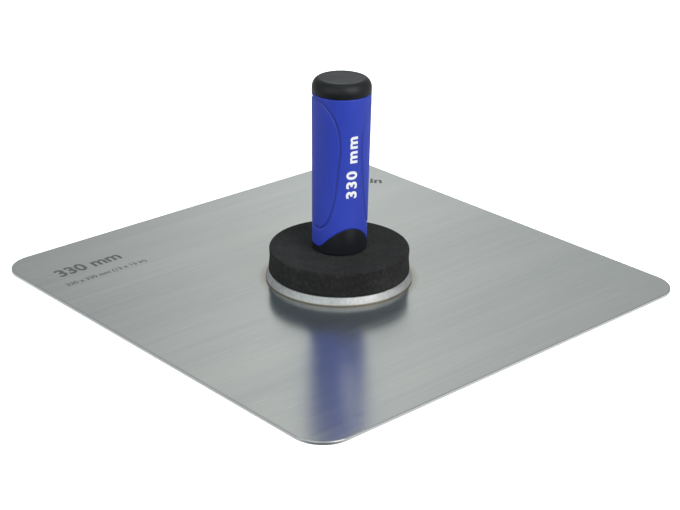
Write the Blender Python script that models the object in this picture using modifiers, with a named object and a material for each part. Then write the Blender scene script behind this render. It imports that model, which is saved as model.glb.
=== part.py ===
"""A plasterer's mortar hawk: a square plate that carries the mortar, with a screw-on grip.

The hawk lies on its mortar face. The origin is the centre of that face, +Z runs up the
handle, and X and Y run along the plate's edges. Lengths are metres.

From the plate up: six countersunk rivets hold a cast disc to the plate. A hexagon-headed
bolt is trapped in a pocket under the disc, stands up through its boss and is locked there
by a nut. The handle's moulded core screws down on that bolt, on top of a foam pad that
cushions the hand.
"""

import math

import bmesh
import bpy
import numpy as np

# Driving dimensions
GAP = 0.0003                  # clearance between pieces that touch

PLATE_SIDE = 0.330
PLATE_THICK = 0.0020
PLATE_CORNER = 0.0215         # radius of the plate's corners, seen from above
PLATE_EDGE = 0.0004           # dulled edge all round

DISC_R = 0.0500
DISC_BOTTOM = PLATE_THICK + GAP
DISC_TOP = 0.0074
BOSS_R = 0.0140
BOSS_TOP = 0.0160

RIVET_COUNT = 6
RIVET_CIRCLE_R = 0.0380
RIVET_SHANK_R = 0.0025
RIVET_HEAD_R = 0.0046         # countersunk head, flush with the mortar face
RIVET_TAIL_R = 0.0042         # head formed in the disc's counterbore
RIVET_TAIL_BOTTOM = 0.0061

BOLT_R = 0.0060
BOLT_TOP = 0.0480
HEX_FLATS = 0.0180            # across the flats, bolt head and nut
BOLT_HEAD_BOTTOM = DISC_BOTTOM + GAP
BOLT_HEAD_TOP = 0.0101
WASHER_R = 0.0118
WASHER_THICK = 0.0013
LOCK_WASHER_R = 0.0098
LOCK_WASHER_THICK = 0.0021
NUT_HEIGHT = 0.0050

PAD_R = 0.0480
PAD_BOTTOM = DISC_TOP + GAP
SEAT_Z = 0.0246               # underside of the handle's collar, on the pad
PAD_TOP = SEAT_Z - GAP
PAD_HOLE_R = 0.0158

# Handle heights are measured up from the collar's underside, which is at SEAT_Z
HANDLE_FRONT = math.radians(-20.8)   # direction that the panel between the ovals faces
HANDLE_LOW_R = 0.0184
GRIP_TOP = 0.1084
GRIP_TOP_R = 0.0196
COLLAR_LOW = 0.0039           # top of the collar at its lowest, left and right of the front
COLLAR_ARCH = 0.0148          # how much higher its two arches reach, front and back
COLLAR_ARCH_HALF = math.radians(66)
CORE_R = 0.0156
CORE_TOP = GRIP_TOP - GAP
SPIGOT_R = PAD_HOLE_R - GAP
SPIGOT_LENGTH = 0.0046
NUT_ROOM_R = 0.0115
NUT_ROOM_TOP = 0.0040
INSERT_R = 0.0100
INSERT_BOTTOM = 0.0044
INSERT_TOP = 0.0244
CORE_BORE_R = 0.0120
CORE_BORE_BOTTOM = 0.0354
CAP_BOTTOM = GRIP_TOP + GAP
CAP_WALL_TOP = 0.1116
CAP_TOP = 0.1180
CAP_FLAT_R = 0.0162
CAP_SHOULDER = 1.3            # 1 would be a chamfer, 2 a quarter of an ellipse
CAP_SPIGOT_LENGTH = 0.0120

ROUND = 64                    # segments of the large round pieces
SMALL_ROUND = 32              # segments of the bolt, its nut and washers, and the insert


def clear_scene():
    for old in list(bpy.data.objects):
        bpy.data.objects.remove(old, do_unlink=True)


def new_collection(name):
    collection = bpy.data.collections.new(name)
    bpy.context.scene.collection.children.link(collection)
    return collection


def make_material(name, color, roughness, metallic=0.0):
    material = bpy.data.materials.new(name)
    material.use_nodes = True
    shader = material.node_tree.nodes["Principled BSDF"]
    shader.inputs["Base Color"].default_value = (*color, 1.0)
    shader.inputs["Roughness"].default_value = roughness
    shader.inputs["Metallic"].default_value = metallic
    return material


def add_object(name, mesh, collection, material=None, parent=None):
    obj = bpy.data.objects.new(name, mesh)
    collection.objects.link(obj)
    if material and not mesh.materials:
        mesh.materials.append(material)
    if parent:
        obj.parent = parent
    return obj


def add_empty(name, height, collection):
    empty = bpy.data.objects.new(name, None)
    empty.location.z = height
    collection.objects.link(empty)
    return empty


def hide_cutter(obj):
    obj.hide_render = True
    obj.display_type = "WIRE"
    return obj


def profile_mesh(name, points, closed):
    """An outline in the XZ plane, as (radius, height) points down its outer side."""
    bm = bmesh.new()
    verts = [bm.verts.new((radius, 0.0, height)) for radius, height in points]
    for first, second in zip(verts, verts[1:]):
        bm.edges.new((first, second))
    if closed:
        bm.edges.new((verts[-1], verts[0]))
    mesh = bpy.data.meshes.new(name)
    bm.to_mesh(mesh)
    bm.free()
    return mesh


def turned(name, points, collection, material=None, parent=None, closed=True, steps=ROUND):
    """A piece turned about Z. An open outline starts and ends on the axis."""
    obj = add_object(name, profile_mesh(name, points, closed), collection, material, parent)
    screw = obj.modifiers.new("turn", "SCREW")
    screw.axis = "Z"
    screw.angle = 2 * math.pi
    screw.steps = steps
    screw.render_steps = steps
    screw.use_merge_vertices = True
    screw.merge_threshold = 1e-6
    return obj


def apply_modifiers(obj):
    """Bake an object's modifiers into its own mesh."""
    bpy.context.view_layer.update()
    evaluated = obj.evaluated_get(bpy.context.evaluated_depsgraph_get())
    mesh = bpy.data.meshes.new_from_object(evaluated)
    obj.modifiers.clear()
    obj.data = mesh


def boolean(obj, other, operation="DIFFERENCE"):
    """Cut, join or intersect with one object, or cut with every object of a collection."""
    modifier = obj.modifiers.new("cut", "BOOLEAN")
    modifier.operation = operation
    modifier.solver = "EXACT"
    if isinstance(other, bpy.types.Collection):
        modifier.operand_type = "COLLECTION"
        modifier.collection = other
    else:
        modifier.object = other


def hexagon(name, flats, bottom, top, collection, material=None):
    bm = bmesh.new()
    bmesh.ops.create_cone(
        bm, cap_ends=True, segments=6, depth=top - bottom,
        radius1=flats / 2 / math.cos(math.pi / 6), radius2=flats / 2 / math.cos(math.pi / 6),
    )
    bmesh.ops.translate(bm, verts=bm.verts, vec=(0, 0, (top + bottom) / 2))
    mesh = bpy.data.meshes.new(name)
    bm.to_mesh(mesh)
    bm.free()
    return add_object(name, mesh, collection, material)


def smooth_round_faces(obj, angle=30):
    obj.data.shade_smooth()
    obj.data.set_sharp_from_angle(angle=math.radians(angle))


def grip_radius(height):
    """Outer radius of the collar and the grip, which swells steadily towards the cap."""
    return HANDLE_LOW_R + (GRIP_TOP_R - HANDLE_LOW_R) * height / GRIP_TOP


def collar_top(angle):
    """Height of the line where the collar meets the grip: one arch in front, one behind."""
    turn = (angle - HANDLE_FRONT + math.pi / 2) % math.pi - math.pi / 2
    arch = math.cos(turn * (math.pi / 2) / COLLAR_ARCH_HALF)
    rounded = (arch + math.sqrt(arch * arch + 0.01)) / 2
    return COLLAR_LOW + COLLAR_ARCH * rounded


def follow_collar_line(obj, level, offset):
    """Move the vertices at one level to the collar's wavy top line, and offset from it."""
    for vertex in obj.data.vertices:
        if abs(vertex.co.z - level) < 1e-5:
            angle = math.atan2(vertex.co.y, vertex.co.x)
            vertex.co.z = collar_top(angle) + offset


def rivet_outline(extra):
    """A countersunk rivet from its formed tail down to its flush head, grown by extra."""
    return [
        (0.0, DISC_TOP - 0.0001 + 10 * extra),
        (RIVET_TAIL_R - 0.0006 + extra, DISC_TOP - 0.0001 + 10 * extra),
        (RIVET_TAIL_R + extra, DISC_TOP - 0.0005),
        (RIVET_TAIL_R + extra, RIVET_TAIL_BOTTOM - extra),
        (RIVET_SHANK_R + extra, RIVET_TAIL_BOTTOM - extra),
        (RIVET_SHANK_R + extra, PLATE_THICK + 0.0001),
        (RIVET_HEAD_R + extra, 0.0),
        (RIVET_HEAD_R + extra, -10 * extra),
        (0.0, -10 * extra),
    ]


def build_plate(parts, rivet_cutters, material):
    bm = bmesh.new()
    bmesh.ops.create_cube(bm, size=1.0)
    bmesh.ops.scale(bm, verts=bm.verts, vec=(PLATE_SIDE, PLATE_SIDE, PLATE_THICK))
    bmesh.ops.translate(bm, verts=bm.verts, vec=(0, 0, PLATE_THICK / 2))
    upright = [e for e in bm.edges if abs(e.verts[0].co.z - e.verts[1].co.z) > 1e-6]
    bmesh.ops.bevel(
        bm, geom=upright, offset=PLATE_CORNER, segments=12, profile=0.5, affect="EDGES",
    )
    mesh = bpy.data.meshes.new("hawk_plate")
    bm.to_mesh(mesh)
    bm.free()
    plate = add_object("hawk_plate", mesh, parts, material)
    dulled = plate.modifiers.new("dulled_edge", "BEVEL")
    dulled.width = PLATE_EDGE
    dulled.segments = 2
    dulled.limit_method = "ANGLE"
    dulled.angle_limit = math.radians(40)
    boolean(plate, rivet_cutters)


def build_disc(parts, cutters, rivet_cutters, material):
    """The cast disc: a rounded rim, a flat seat for the pad and a short central boss."""
    disc = turned("mounting_disc", [
        (BOSS_R - 0.0016, BOSS_TOP),
        (BOSS_R - 0.0008, BOSS_TOP - 0.0008),
        (BOSS_R, DISC_TOP + 0.0015),
        (BOSS_R + 0.0015, DISC_TOP),
        (DISC_R - 0.0019, DISC_TOP),
        (DISC_R - 0.0009, DISC_TOP - 0.0004),
        (DISC_R - 0.0002, DISC_TOP - 0.0013),
        (DISC_R, DISC_TOP - 0.0025),
        (DISC_R - 0.0002, DISC_BOTTOM + 0.0008),
        (DISC_R - 0.0008, DISC_BOTTOM),
        (BOLT_R + GAP, DISC_BOTTOM),
        (BOLT_R + GAP, BOSS_TOP),
    ], parts, material)
    pocket = hexagon("bolt_pocket_cutter", HEX_FLATS + 2 * GAP, 0.0, BOLT_HEAD_TOP + GAP, cutters)
    boolean(disc, hide_cutter(pocket))
    boolean(disc, rivet_cutters)


def build_rivets(parts, rivet_cutters, material):
    for number in range(RIVET_COUNT):
        angle = 2 * math.pi * (number + 0.5) / RIVET_COUNT
        place = (RIVET_CIRCLE_R * math.cos(angle), RIVET_CIRCLE_R * math.sin(angle), 0.0)
        rivet = turned(
            f"disc_rivet_{number + 1}", rivet_outline(0.0), parts, material, closed=False, steps=20,
        )
        rivet.location = place
        cutter = turned(
            f"rivet_hole_cutter_{number + 1}", rivet_outline(GAP), rivet_cutters,
            closed=False, steps=20,
        )
        cutter.location = place
        hide_cutter(cutter)


def build_bolt(parts, cutters, material):
    bolt = turned("stud_bolt", [
        (0.0, BOLT_TOP),
        (BOLT_R - 0.0010, BOLT_TOP),
        (BOLT_R, BOLT_TOP - 0.0010),
        (BOLT_R, BOLT_HEAD_TOP - 0.0040),
        (0.0, BOLT_HEAD_TOP - 0.0040),
    ], parts, material, closed=False, steps=SMALL_ROUND)
    head = hexagon("bolt_head_form", HEX_FLATS, BOLT_HEAD_BOTTOM, BOLT_HEAD_TOP, cutters)
    boolean(bolt, hide_cutter(head), "UNION")


def build_fasteners(parts, cutters, material):
    """Plain washer, split lock washer and thin nut, stacked on the boss."""
    bore = BOLT_R + GAP
    washer_bottom = BOSS_TOP + GAP
    washer_top = washer_bottom + WASHER_THICK
    turned("plain_washer", [
        (WASHER_R, washer_top),
        (WASHER_R, washer_bottom),
        (bore, washer_bottom),
        (bore, washer_top),
    ], parts, material, steps=SMALL_ROUND)

    lock_bottom = washer_top + GAP
    lock_top = lock_bottom + LOCK_WASHER_THICK
    lock_washer = turned("lock_washer", [
        (LOCK_WASHER_R, lock_top),
        (LOCK_WASHER_R, lock_bottom),
        (bore, lock_bottom),
        (bore, lock_top),
    ], parts, material, steps=SMALL_ROUND)
    bm = bmesh.new()
    bmesh.ops.create_cube(bm, size=1.0)
    bmesh.ops.scale(bm, verts=bm.verts, vec=(LOCK_WASHER_R, 0.0012, 2 * LOCK_WASHER_THICK))
    mesh = bpy.data.meshes.new("lock_washer_split_cutter")
    bm.to_mesh(mesh)
    bm.free()
    split = add_object("lock_washer_split_cutter", mesh, cutters)
    split.location = (0.0081, 0.0, (lock_bottom + lock_top) / 2)
    split.rotation_euler.x = math.radians(20)
    boolean(lock_washer, hide_cutter(split))

    nut_bottom = lock_top + GAP
    nut_top = nut_bottom + NUT_HEIGHT
    corner_r = HEX_FLATS / 2 / math.cos(math.pi / 6)
    nut = turned("lock_nut", [
        (HEX_FLATS / 2, nut_top),
        (corner_r + 0.0002, nut_top - 0.0008),
        (corner_r + 0.0002, nut_bottom + 0.0008),
        (HEX_FLATS / 2, nut_bottom),
        (bore, nut_bottom),
        (bore, nut_top),
    ], parts, material, steps=48)
    flats = hexagon("nut_flats_form", HEX_FLATS, nut_bottom - 0.001, nut_top + 0.001, cutters)
    flats.rotation_euler.z = math.radians(12)
    boolean(nut, hide_cutter(flats), "INTERSECT")


def build_pad(parts, material, parent):
    """The foam ring under the hand, a snug fit on the spigot below the handle's collar."""
    turned("foam_pad", [
        (PAD_R - 0.0010, 0.0),
        (PAD_R - 0.0002, -0.0008),
        (PAD_R - 0.0004, (PAD_BOTTOM - PAD_TOP) / 2),
        (PAD_R, PAD_BOTTOM - PAD_TOP + 0.0006),
        (PAD_R - 0.0005, PAD_BOTTOM - PAD_TOP),
        (PAD_HOLE_R, PAD_BOTTOM - PAD_TOP),
        (PAD_HOLE_R, 0.0),
    ], parts, material, parent)


def build_core(parts, material, parent):
    """The hard moulding inside the grip. Its collar shows below the grip."""
    ledge = COLLAR_LOW + COLLAR_ARCH / 2
    core = turned("handle_core", [
        (CORE_R, CORE_TOP),
        (CORE_R, ledge),
        (grip_radius(ledge), ledge),
        (HANDLE_LOW_R, 0.0008),
        (HANDLE_LOW_R - 0.0006, 0.0),
        (SPIGOT_R, 0.0),
        (SPIGOT_R, 0.0006 - SPIGOT_LENGTH),
        (SPIGOT_R - 0.0006, -SPIGOT_LENGTH),
        (NUT_ROOM_R, -SPIGOT_LENGTH),
        (NUT_ROOM_R, NUT_ROOM_TOP),
        (INSERT_R + GAP, NUT_ROOM_TOP),
        (INSERT_R + GAP, INSERT_TOP + GAP),
        (BOLT_R + 0.0008, INSERT_TOP + GAP),
        (BOLT_R + 0.0008, CORE_BORE_BOTTOM),
        (CORE_BORE_R, CORE_BORE_BOTTOM),
        (CORE_BORE_R, CORE_TOP),
    ], parts, material, parent)
    apply_modifiers(core)
    follow_collar_line(core, ledge, -GAP / 2)
    smooth_round_faces(core)


def build_insert(parts, material, parent):
    """The threaded insert that takes the bolt, held in the core by two grooves."""
    span = INSERT_TOP - INSERT_BOTTOM
    groove = 0.0008
    outline = [(INSERT_R, INSERT_TOP)]
    for fraction in (0.70, 0.36):
        top = INSERT_BOTTOM + fraction * span
        outline += [
            (INSERT_R, top),
            (INSERT_R - groove, top - groove),
            (INSERT_R - groove, top - 2 * groove),
            (INSERT_R, top - 3 * groove),
        ]
    outline += [
        (INSERT_R, INSERT_BOTTOM),
        (BOLT_R + 0.0010, INSERT_BOTTOM),
        (BOLT_R + GAP, INSERT_BOTTOM + 0.0007),
        (BOLT_R + GAP, INSERT_TOP),
    ]
    turned("thread_insert", outline, parts, material, parent, steps=SMALL_ROUND)


def build_sleeve(parts, material, parent):
    """The soft grip moulded over the core, down to the collar's wavy line."""
    ledge = COLLAR_LOW + COLLAR_ARCH / 2
    heights = np.linspace(GRIP_TOP, ledge, 5)
    outer = [(grip_radius(height), float(height)) for height in heights]
    inner = [(CORE_R + GAP, ledge), (CORE_R + GAP, GRIP_TOP)]
    sleeve = turned("grip_sleeve", outer + inner, parts, material, parent)
    apply_modifiers(sleeve)
    follow_collar_line(sleeve, ledge, GAP / 2)
    smooth_round_faces(sleeve)


def build_cap(parts, material, parent):
    """The moulded end cap, plugged into the core's open top."""
    steps = 7
    shoulder = []
    for step in range(steps):
        angle = math.pi / 2 * (1 - step / (steps - 1))
        across = math.cos(angle) ** (2 / CAP_SHOULDER)
        up = math.sin(angle) ** (2 / CAP_SHOULDER)
        shoulder.append((
            CAP_FLAT_R + (GRIP_TOP_R - CAP_FLAT_R) * across,
            CAP_WALL_TOP + (CAP_TOP - CAP_WALL_TOP) * up,
        ))
    cap = turned("end_cap", [
        (0.0, CAP_TOP),
        *shoulder,
        (GRIP_TOP_R, CAP_BOTTOM),
        (CORE_BORE_R - GAP, CAP_BOTTOM),
        (CORE_BORE_R - GAP, CAP_BOTTOM - CAP_SPIGOT_LENGTH),
        (CORE_BORE_R - 0.0032, CAP_BOTTOM - CAP_SPIGOT_LENGTH),
        (CORE_BORE_R - 0.0032, CAP_TOP - 0.0040),
        (0.0, CAP_TOP - 0.0040),
    ], parts, material, parent, closed=False)
    apply_modifiers(cap)
    smooth_round_faces(cap)


def build():
    clear_scene()
    parts = new_collection("mortar_hawk")
    cutters = new_collection("cutters")
    rivet_cutters = new_collection("rivet_cutters")

    plate_metal = make_material("plate_brushed_metal", (0.60, 0.60, 0.58), 0.28, 1.0)
    cast_metal = make_material("disc_cast_metal", (0.66, 0.67, 0.68), 0.42, 1.0)
    rivet_metal = make_material("rivet_metal", (0.62, 0.62, 0.61), 0.35, 1.0)
    plated_steel = make_material("plated_steel", (0.55, 0.55, 0.52), 0.30, 1.0)
    foam = make_material("pad_foam", (0.030, 0.031, 0.032), 0.90)
    core_plastic = make_material("core_plastic", (0.012, 0.012, 0.015), 0.45)
    brass = make_material("insert_brass", (0.72, 0.53, 0.25), 0.35, 1.0)
    grip_rubber = make_material("grip_rubber", (0.030, 0.050, 0.420), 0.55)
    cap_rubber = make_material("cap_rubber", (0.020, 0.022, 0.023), 0.50)

    pad_axis = add_empty("pad_axis", PAD_TOP, parts)
    handle_axis = add_empty("handle_axis", SEAT_Z, parts)

    build_rivets(parts, rivet_cutters, rivet_metal)
    build_plate(parts, rivet_cutters, plate_metal)
    build_disc(parts, cutters, rivet_cutters, cast_metal)
    build_bolt(parts, cutters, plated_steel)
    build_fasteners(parts, cutters, plated_steel)
    build_pad(parts, foam, pad_axis)
    build_core(parts, core_plastic, handle_axis)
    build_insert(parts, brass, handle_axis)
    build_sleeve(parts, grip_rubber, handle_axis)
    build_cap(parts, cap_rubber, handle_axis)


build()
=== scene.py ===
"""The looks of the mortar hawk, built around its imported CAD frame. Lengths are metres."""

import math

import bmesh
import bpy
import numpy as np
from mathutils import Matrix, Vector, noise as value_noise

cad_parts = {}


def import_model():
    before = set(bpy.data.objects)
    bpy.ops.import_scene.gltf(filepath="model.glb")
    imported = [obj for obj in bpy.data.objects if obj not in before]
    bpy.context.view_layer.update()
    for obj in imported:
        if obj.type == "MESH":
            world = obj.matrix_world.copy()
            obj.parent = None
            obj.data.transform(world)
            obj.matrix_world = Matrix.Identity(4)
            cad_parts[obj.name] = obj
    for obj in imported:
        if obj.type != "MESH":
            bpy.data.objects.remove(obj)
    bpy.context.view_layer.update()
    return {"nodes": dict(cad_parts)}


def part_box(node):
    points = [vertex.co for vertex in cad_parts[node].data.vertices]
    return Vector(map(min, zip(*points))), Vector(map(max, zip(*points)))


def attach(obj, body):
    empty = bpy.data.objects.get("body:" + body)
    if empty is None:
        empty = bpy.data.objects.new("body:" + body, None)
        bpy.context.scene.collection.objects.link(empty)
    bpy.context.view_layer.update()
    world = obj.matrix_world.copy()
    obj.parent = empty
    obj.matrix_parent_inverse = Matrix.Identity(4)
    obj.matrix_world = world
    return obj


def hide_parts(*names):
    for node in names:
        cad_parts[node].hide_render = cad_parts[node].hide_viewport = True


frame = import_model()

GAP = 0.0003                  # clearance between pieces that touch

_, PLATE_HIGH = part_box("hawk_plate")
_, DISC_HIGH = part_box("mounting_disc")
PAD_LOW, PAD_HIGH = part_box("foam_pad")
CORE_LOW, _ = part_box("handle_core")
_, GRIP_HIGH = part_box("grip_sleeve")
CAP_LOW, CAP_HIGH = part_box("end_cap")
BOLT_LOW, BOLT_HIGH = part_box("stud_bolt")
NUT_LOW, NUT_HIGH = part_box("lock_nut")
WASHER_LOW, WASHER_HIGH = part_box("plain_washer")
SPRING_LOW, SPRING_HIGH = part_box("lock_washer")

PLATE_HALF = PLATE_HIGH.x
PLATE_TOP = PLATE_HIGH.z
PLATE_CORNER = 0.0215
PLATE_EDGE = 0.0004           # radius of the rolled edges

DISC_R = DISC_HIGH.x
DISC_TOP = 0.0074             # flat seat of the pad
BOSS_R = 0.0140
BOSS_TOP = DISC_HIGH.z
DISC_FOOT = PLATE_TOP + 0.00002
DISC_RIM_IN = 0.0026          # the rim slopes in this far ...
DISC_RIM_DROP = 0.0044        # ... over this height

RIVETS = 6
RIVET_CIRCLE_R = 0.0380
RIVET_HEAD_R = 0.0046
RIVET_SHANK_R = 0.0025
RIVET_TAIL_R = 0.0042
RIVET_TAIL_LOW = 0.0061

HEX_FLATS = 0.0180
BOLT_R = 0.0060
THREAD_PITCH = 0.00175
THREAD_DEPTH = 0.00095
BOLT_ROOM = 0.0008            # radial room round the bolt, in the core and at the nut's ends

PAD_HOLE_R = 0.0158

SEAT = PAD_HIGH.z + GAP       # underside of the handle's collar
HANDLE_FRONT = math.radians(-20.8)
HANDLE_LOW_R = 0.0184
GRIP_TOP = GRIP_HIGH.z - SEAT
GRIP_TOP_R = GRIP_HIGH.x
COLLAR_LOW = 0.0039
COLLAR_ARCH = 0.0148
COLLAR_ARCH_HALF = math.radians(66)
CORE_R = 0.0156               # the core's tube, inside the grip
CORE_BORE_R = 0.0120
CORE_BORE_LOW = 0.0354        # heights in the core are above the seat
INSERT_ROOM_R = 0.0103
INSERT_ROOM_LOW = 0.0040
INSERT_ROOM_TOP = 0.0247
NUT_ROOM_R = 0.0115
SPIGOT_R = 0.0155
SPIGOT_LOW = CORE_LOW.z - SEAT

CAP_PLUG_R = 0.0117
CAP_HOLLOW_R = 0.0088
CAP_THICK = 0.0040
CAP_WALL_TOP = SEAT + 0.1116  # where the straight wall ends and the shoulder starts
CAP_FLAT_R = 0.0147
CAP_DISH = 0.00012            # the flat top lies this much below its rim

OVAL_CENTRE = math.radians(-110.8)
OVAL_HALF = math.radians(66.8)
OVAL_WIDEST = 0.0970          # world height of the ovals' widest place
OVAL_TOP = 0.1313
OVAL_BOTTOM = 0.0416
OVAL_WIDTH = 0.0014
OVAL_DEPTH = 0.00058
OVAL_POWER = 2 / 2.3          # the upper half is a little squarer than an ellipse
OVAL_NARROWING = 0.22         # the lower half gets this much narrower downwards
OVAL_MEAN_R = 0.0190


# ---------------------------------------------------------------- meshes

def fillet(points, radii, steps=4, closed=True):
    """Round an outline's corners. A corner with radius 0 stays sharp."""
    count = len(points)
    made = []
    for i, (here, radius) in enumerate(zip(points, radii)):
        here = np.array(here, float)
        if radius <= 0 or (not closed and i in (0, count - 1)):
            made.append(tuple(here))
            continue
        before = np.array(points[i - 1], float) - here
        after = np.array(points[(i + 1) % count], float) - here
        len_before, len_after = np.linalg.norm(before), np.linalg.norm(after)
        before, after = before / len_before, after / len_after
        half = math.acos(max(-1.0, min(1.0, float(before @ after)))) / 2
        if half > math.pi / 2 - 0.02:
            made.append(tuple(here))
            continue
        cut = min(radius / math.tan(half), 0.48 * len_before, 0.48 * len_after)
        for step in range(steps + 1):
            t = step / steps
            start, end = here + before * cut, here + after * cut
            made.append(tuple((1 - t) ** 2 * start + 2 * t * (1 - t) * here + t * t * end))
    return made


def spaced(points, longest):
    """Add points along the long straight runs of a closed outline."""
    made = []
    for a, b in zip(points, points[1:] + points[:1]):
        runs = max(1, math.ceil(math.dist(a, b) / longest))
        for k in range(runs):
            t = k / runs
            made.append((a[0] + (b[0] - a[0]) * t, a[1] + (b[1] - a[1]) * t))
    return made


def add_object(name, data):
    obj = bpy.data.objects.new(name, data)
    bpy.context.scene.collection.objects.link(obj)
    return obj


def mesh_from(name, verts, faces):
    """A mesh with its faces turned outwards."""
    mesh = bpy.data.meshes.new(name)
    mesh.from_pydata([tuple(v) for v in verts], [], faces)
    mesh.update()
    mesh.validate()
    bm = bmesh.new()
    bm.from_mesh(mesh)
    bmesh.ops.recalc_face_normals(bm, faces=bm.faces)
    bm.to_mesh(mesh)
    bm.free()
    return mesh


def tube_faces(rings, count):
    """Faces that join rings of count points each, with a face on the first and on the last ring."""
    faces = []
    for ring in range(rings - 1):
        low, high = ring * count, (ring + 1) * count
        for k in range(count):
            n = (k + 1) % count
            faces.append([low + k, low + n, high + n, high + k])
    faces.append(list(range(count)))
    faces.append([(rings - 1) * count + k for k in range(count)])
    return faces


def smooth(mesh, angle):
    """Smooth shading, with edges sharper than the angle in degrees kept sharp."""
    mesh.shade_smooth()
    mesh.set_sharp_from_angle(angle=math.radians(angle))


def lathe(name, outline, segments, closed=True, shape=None, sharp=32):
    """Turn an outline of (radius, height) about Z. shape(radius, height, angle) may move each ring."""
    outline = np.array(outline, float)
    angles = np.arange(segments) * 2 * math.pi / segments
    radius = np.repeat(outline[:, :1], segments, 1)
    height = np.repeat(outline[:, 1:2], segments, 1)
    turn = np.repeat(angles[None, :], len(outline), 0)
    if shape:
        radius, height = shape(radius, height, turn)
    verts, rings = [], []
    for i in range(len(outline)):
        if outline[i, 0] < 1e-7:
            rings.append([len(verts)] * segments)
            verts.append((0.0, 0.0, float(height[i, 0])))
        else:
            rings.append(list(range(len(verts), len(verts) + segments)))
            verts.extend(zip(
                (radius[i] * np.cos(turn[i])).tolist(),
                (radius[i] * np.sin(turn[i])).tolist(),
                height[i].tolist(),
            ))
    faces = []
    count = len(rings)
    for i in range(count if closed else count - 1):
        low, high = rings[i], rings[(i + 1) % count]
        for k in range(segments):
            n = (k + 1) % segments
            corners = [low[k], low[n], high[n], high[k]]
            corners = [c for j, c in enumerate(corners) if c not in corners[:j]]
            if len(corners) > 2:
                faces.append(corners)
    mesh = mesh_from(name, verts, faces)
    smooth(mesh, sharp)
    return mesh


def piece(name, mesh, material, body, slot, *nodes):
    """Put a mesh in the scene on its body, and hide the CAD nodes it replaces; slot is not used."""
    obj = add_object(name, mesh)
    if not mesh.materials:
        mesh.materials.append(material)
    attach(obj, body)
    if nodes:
        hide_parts(*nodes)
    return obj


def wobble(x, y, z, scale, seed):
    """Smooth noise from -1 to 1 for arrays of points."""
    flat = [
        value_noise.noise(Vector((a * scale + seed, b * scale - seed, c * scale + 2 * seed)))
        for a, b, c in zip(x.ravel(), y.ravel(), z.ravel())
    ]
    return np.array(flat).reshape(x.shape)


# ---------------------------------------------------------------- materials

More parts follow.
